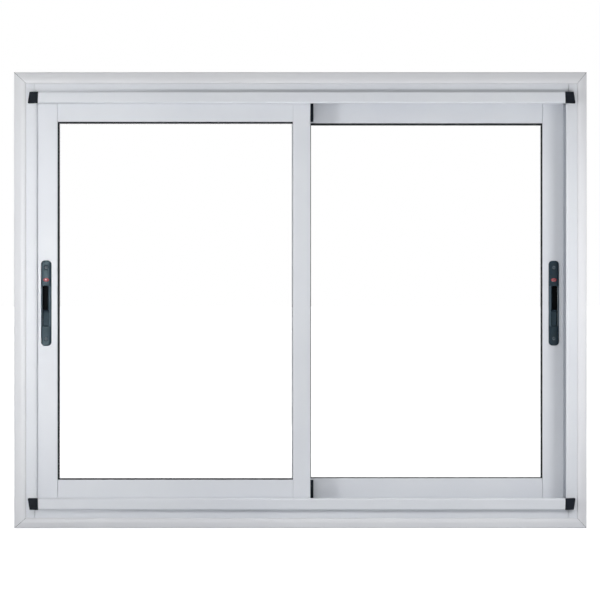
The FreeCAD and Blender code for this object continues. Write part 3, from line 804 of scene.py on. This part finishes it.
def gasket_strips(sash):
    """Both strips of a sash, mitred at the corners of the opening between its stiles and rails."""
    stile_low, stile_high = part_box(sash + "_handle_stile")
    meeting_low, meeting_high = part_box(sash + "_meeting_stile")
    rail_low, rail_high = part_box(sash + "_bottom_rail")
    handle_left = stile_low.x < meeting_low.x
    left = stile_high.x if handle_left else meeting_high.x
    right = meeting_low.x if handle_left else stile_low.x
    bottom, top = rail_high.z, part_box(sash + "_top_rail")[0].z
    sides = ("handle", "meeting") if handle_left else ("meeting", "handle")
    lips = [LIPS[sash][side] for side in (*sides, "bottom", "top")]
    half_inside = (rail_high.y - rail_low.y) / 2 / MM - WALL
    share, depth = gasket_section(half_inside - UNIT_HALF - GASKET_CLEAR)
    behind = np.where(np.arange(len(share)) == len(share) - 1, -GASKET_BITE, 0)
    inset = [(lip * share + behind) * MM for lip in lips]
    x = np.column_stack([left + inset[0], right - inset[1], right - inset[1], left + inset[0]])
    z = np.column_stack([bottom + inset[2], bottom + inset[2], top - inset[3], top - inset[3]])
    middle_y = (rail_low.y + rail_high.y) / 2
    strips = []
    for side in (-1, 1):
        y = middle_y + side * (UNIT_HALF + np.repeat(depth[:, None], 4, axis=1)) * MM
        strip = np.stack([x, y, z], axis=-1)
        strips.append(np.concatenate([strip, strip[:1]]))
    return make_piece(sash + "_glazing_gasket", strips, rubber, sash + "_sash",
                      [sash + "_gasket"])


GASKETS = [gasket_strips(sash) for sash in HANDLES]
print("gasket strips have", [len(piece.data.polygons) for piece in GASKETS], "faces")

# %% [markdown]
# ## Corner caps and end blocks
#
# Black ABS caps close the ends of the two noses. A cap flares a little to its outer side, its corners and
# rim are well rounded, and its face is sunk by a third of a millimetre, as thick mouldings shrink. The
# blocks on the meeting stiles are plain bars with rounded edges. Both are stacks of the same rounded
# outline: it stays as it is up the side, and then shrinks while it rises, which rounds the rim.

# %% Caps and blocks
CAP_WIDTH, CAP_FLARE, CAP_LEAN, CAP_STEP = 18.4, 3.8, 0.9, 0.5
CAP_RADIUS, CAP_RIM = 1.5, 1.2
CAP_SINK = 0.35
BLOCK_LENGTH, BLOCK_RADIUS = 49.0, 1.2
CORNER_STEPS, STRAIGHT_STEPS = 8, 6
RIM_LOOPS, FACE_LOOPS = 8, 5


def stacked(corners, radius, depth, rim, sink):
    """Loops from the back up the side and over a quarter-round rim to a middle that is sunk a little.

    The rim's loops shrink by rim * (1 - cos t) while they rise by rim * sin t.
    """
    outer = rounded_loop(corners, radius, CORNER_STEPS, (STRAIGHT_STEPS,) * len(corners))
    middle_point = np.mean(corners, axis=0)
    spread = np.abs(outer - middle_point).max(axis=0)
    t = np.linspace(0, math.pi / 2, RIM_LOOPS)
    inner = np.linspace(0, 1, FACE_LOOPS + 1)[1:]
    shrink = np.concatenate([[1.0, 0.0, 0.0], rim * (1 - np.cos(t)), rim + (spread.min() - rim) * inner])
    rise = np.concatenate([[0.0, 0.0, depth / 2], depth - rim + rim * np.sin(t), depth - sink * inner])
    keep = 1 - shrink[:, None] / spread
    keep[0] = keep[-1] = 0
    loops = middle_point + (outer - middle_point) * keep[:, None]
    return loops[..., 0], loops[..., 1], np.repeat(rise[:, None], len(outer), axis=1)


def corner_cap(end, level):
    """Cap at one end of a nose: its foot line is the end away from the middle of the frame's height."""
    node = f"corner_cap_{level}_{end}"
    low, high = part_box(node)
    side = 1 if end == "right" else -1
    up = 1 if level == "bottom" else -1
    outer_x = high.x if side > 0 else low.x
    start = outer_x - side * (CAP_WIDTH + CAP_FLARE) * MM
    foot = low.z if up > 0 else high.z
    height = (high.z - low.z) / MM
    flared = (CAP_WIDTH + CAP_FLARE, height + CAP_STEP)
    corners = [(0, 0), (CAP_WIDTH, CAP_STEP), flared, (CAP_LEAN, height)]
    a, b, rise = stacked(corners, CAP_RADIUS, (high.y - low.y) / MM, CAP_RIM, CAP_SINK)
    origin = (start, high.y, foot)
    return make_piece(f"cap_{level}_{end}", [on_wall(origin, side * a, up * b, rise)], black_abs, "frame",
                      [node])


CAPS = [corner_cap(end, level) for level in ("bottom", "top") for end in ("left", "right")]
print("caps", [piece.name for piece in CAPS])


def end_blocks(sash):
    """Two bars beside the meeting stile, at its foot and at its head."""
    low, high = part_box(sash + "_end_blocks")
    half_x, half_y = (high.x - low.x) / 2 / MM, (high.y - low.y) / 2 / MM
    corners = box_corners(half_x, -half_y, half_y)
    a, b, rise = stacked(corners, BLOCK_RADIUS, BLOCK_LENGTH, rim=BLOCK_RADIUS, sink=0.0)
    middle_x, middle_y = (low.x + high.x) / 2, (low.y + high.y) / 2
    bars = []
    for start, way in ((low.z, 1), (high.z, -1)):
        bars.append(np.stack([middle_x + a * MM, middle_y + b * MM, start + way * rise * MM], axis=-1))
    return make_piece(sash + "_blocks", bars, black_abs, sash + "_sash",
                      [sash + "_end_blocks"])


BLOCKS = [end_blocks(sash) for sash in HANDLES]
print("blocks", [piece.name for piece in BLOCKS])

# %% [markdown]
# ## Mitre joints
#
# The trims meet in mitres at the four corners, and a hairline stays open between them. It is half a
# millimetre wide, so it shows as a faint grey line. It could be drawn in the material, but the trims have
# four widths, so every mitre has its own angle. The ends of a trim's own mesh hold its profile on the mitre
# plane, and a thin dark strip is laid along the points of that profile that look into the room.

# %% Mitre joints
MITRE_GAP = 0.5
MITRE_PROUD = 0.03
MITRE_DEEP = 0.3
shadowed_gap = moulded("shadowed joint", ("4A4E53", "52565B"), roughness=0.9, cell=0.0010,
                       depth=0.00002, specular=0.05)


def room_side(x, y):
    """Indices, from the lowest x up, of the points that lie behind no chord between two others."""
    order = np.lexsort((y, x))
    order = order[np.concatenate([[True], np.diff(x[order]) > WELD])]
    x, y = x[order], y[order]
    left, point, right = np.meshgrid(*[np.arange(len(x))] * 3, indexing="ij")
    inner = (left < point) & (point < right)
    way = (x[point] - x[left]) / np.where(inner, x[right] - x[left], 1)
    chord = y[left] + way * (y[right] - y[left])
    return order[~(inner & (y[point] > chord + WELD)).any(axis=(0, 2))]


def mitre_joint(end, level):
    """Strip along the mitre: each profile point, moved across by half the gap to both sides of it.

    It is clipped to the window's box, so that its end stays inside the outer corner.
    """
    mesh = nodes["trim_" + end].data
    points = np.empty(3 * len(mesh.vertices))
    mesh.vertices.foreach_get("co", points)
    points = points.reshape(-1, 3)
    upper = points[:, 2] > (cad_low.z + cad_high.z) / 2
    points = points[upper if level == "top" else ~upper]
    line = points[room_side(points[:, 0], points[:, 1])]
    line = line[1:] if end == "left" else line[:-1]
    along = line[-1] - line[0]
    across = np.array([-along[2], 0, along[0]]) / np.hypot(along[0], along[2]) * MITRE_GAP / 2 * MM
    front, back = line - (0, MITRE_PROUD * MM, 0), line + (0, MITRE_DEEP * MM, 0)
    loops = np.stack([front - across, front + across, back + across, back - across], axis=1)
    caps = [loops[index].mean(axis=0) + np.zeros((1, 4, 1)) for index in (0, -1)]
    strip = np.clip(np.concatenate([caps[0], loops, caps[1]]), cad_low, cad_high)
    return make_piece(f"mitre_{level}_{end}", [strip], shadowed_gap, "frame")


MITRES = [mitre_joint(end, level) for level in ("bottom", "top") for end in ("left", "right")]
print("mitre joints reach over, in mm", [round(1000 * piece.dimensions.x, 1) for piece in MITRES])

# %% [markdown]
# ## Screws in the jambs
#
# Four screws in each jamb hold the frame in the wall. They show when a sash is open. They are the same
# oval heads as on the handle, larger and of bright steel, turned to look along the window.

# %% Jamb screws
JAMB_SCREWS_FROM_MIDDLE = (-268.0, -172.0, 172.0, 268.0)
JAMB_SCREW_RADIUS = 4.6
JAMB_SCREW_CROWN = 1.6
JAMB_WEB = 3.2


def jamb_screws(end):
    """Heads on a jamb's web, between the two tracks; each one's place in mm, read as radians, turns it."""
    low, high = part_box("frame_jamb_" + end)
    side = 1 if end == "right" else -1
    web = (high.x if side > 0 else low.x) - side * JAMB_WEB * MM
    heads = []
    for offset in JAMB_SCREWS_FROM_MIDDLE:
        a, b, height = screw_head(JAMB_SCREW_RADIUS, JAMB_SCREW_CROWN, turned=offset)
        x = web - side * (height + JAMB_SCREW_CROWN) * MM
        heads.append(np.stack([x, a * MM, (low.z + high.z) / 2 + (b + offset) * MM], axis=-1))
    return make_piece(f"jamb_screws_{end}", heads, screw_steel, "frame")


JAMB_SCREWS = [jamb_screws(end) for end in ("left", "right")]
print("jamb screws", [len(piece.data.polygons) for piece in JAMB_SCREWS], "faces")

# %% [markdown]
# ## Floor, background and light
#
# The product picture has a pure white background. A white world does that for the rays that come from the
# camera, from a reflection or through glass, while a weaker world lights the object from all sides. The
# floor is pale and gets a glow for those same rays, so it turns white and still keeps the soft shadow under
# the window. Five soft ones share the work. Two tall narrow lamps stand close to the window: the left one
# throws the shadow of the front sash on the rear one, and the right one softens it. A beam from the front
# brightens the left side. Two wide beams cross, from low up to the head and from high down to the sill, so
# each nose has a thin shadow on its outer side and none on the sashes. One more lamp stands far outside, so
# the back can be looked at as well.

# %% World and floor
WORLD_LIGHT = 0.35
FLOOR_GLOW = 0.9
FLOOR_HALF = 150.0
FLOOR_BELOW = 0.0002


def seen_rays(tree):
    """1 for rays that come from the camera, a reflection or the glass, and 0 for the light itself."""
    path = add(tree, "LightPath")
    first = add(tree, "Math", operation="MAXIMUM")
    tree.links.new(path.outputs["Is Camera Ray"], first.inputs[0])
    tree.links.new(path.outputs["Is Glossy Ray"], first.inputs[1])
    second = add(tree, "Math", operation="MAXIMUM")
    tree.links.new(first.outputs[0], second.inputs[0])
    tree.links.new(path.outputs["Is Transmission Ray"], second.inputs[1])
    return second.outputs[0]


def white_world():
    """World that is white where it is seen and weaker as a light."""
    world = bpy.data.worlds.new("studio")
    world.use_nodes = True
    tree = world.node_tree
    tree.nodes.clear()
    strength = add(tree, "MapRange", {
        "Value": seen_rays(tree),
        "To Min": WORLD_LIGHT,
        "To Max": 1.0,
    })
    light = add(tree, "Background", {"Color": (1, 1, 1, 1), "Strength": strength.outputs["Result"]})
    add(tree, "OutputWorld", {"Surface": light.outputs["Background"]})
    bpy.context.scene.world = world


def studio_floor(height):
    """Pale floor far wider than the picture, just under the window."""
    corners = np.array(box_corners(FLOOR_HALF, -FLOOR_HALF, FLOOR_HALF))
    points = np.column_stack([corners, np.full(4, height)])
    mesh = bpy.data.meshes.new("floor")
    mesh.from_pydata(points.tolist(), [], [(0, 1, 2, 3)])
    material, tree = new_tree("pale studio floor")
    diffuse = add(tree, "BsdfDiffuse", {"Color": linear("C4C6C9")})
    glow_level = add(tree, "MapRange", {"Value": seen_rays(tree), "To Min": 0.0, "To Max": FLOOR_GLOW})
    glow = add(tree, "Emission", {"Color": (1, 1, 1, 1), "Strength": glow_level.outputs["Result"]})
    both = add(tree, "AddShader")
    tree.links.new(diffuse.outputs[0], both.inputs[0])
    tree.links.new(glow.outputs[0], both.inputs[1])
    finish_tree(tree, both.outputs[0])
    mesh.materials.append(material)
    floor = bpy.data.objects.new("floor", mesh)
    bpy.context.scene.collection.objects.link(floor)
    floor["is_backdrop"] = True


white_world()
studio_floor(cad_low.z - FLOOR_BELOW)
print("world", bpy.context.scene.world.name, "and floor", round(2 * FLOOR_HALF), "m wide")

# %% Lamps
# Each has its place, the point it faces, its watts, its width and height, and its spread in degrees.
LAMPS = {
    "left lamp": ((-0.84, -0.59, 0.51), (1.3, 0, 0.47), 2.1, (0.14, 0.66), 96),
    "right lamp": ((0.73, -0.35, 0.47), (0.02, 0, 0.47), 1.05, (0.14, 0.72), 180),
    "front beam": ((-0.85, -2.0, 0.47), (-0.70, 0, 0.47), 0.87, (0.2, 1.1), 28),
    "beam to the head": ((0, -1.1, 0.02), (0, 0, 0.95), 0.88, (1.4, 0.1), 50),
    "beam to the sill": ((0, -1.1, 0.93), (0, 0, 0), 0.65, (1.4, 0.1), 50),
    "back lamp": ((0, 3.6, 1.3), (0, 0, 0.47), 22.0, (1.4, 1.0), 180),
}


def soft_lamp(name, place, aim, power, size, spread):
    """Rectangular lamp that faces a point, hidden from the camera; spread is its full opening in degrees."""
    data = bpy.data.lights.new(name, "AREA")
    data.shape = "RECTANGLE"
    data.size, data.size_y = size
    data.energy = power
    data.spread = math.radians(spread)
    lamp = bpy.data.objects.new(name, data)
    lamp.location = place
    way = Vector(aim) - lamp.location
    lamp.rotation_euler = way.to_track_quat("-Z", "Y").to_euler()
    lamp.visible_camera = False
    lamp.visible_transmission = False
    bpy.context.scene.collection.objects.link(lamp)


for name, settings in LAMPS.items():
    soft_lamp(name, *settings)
print("lamps", list(LAMPS))

# %% [markdown]
# ## Size against the CAD model
#
# The visual model should stay inside the CAD model's box, so the script prints how far its box reaches past
# the CAD box on each side.

# %% Sizes against the CAD box
low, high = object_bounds()
for text, growth in (("low side", cad_low - low), ("high side", high - cad_high)):
    print("grown in mm at the", text, [round(1000 * v, 2) for v in growth])
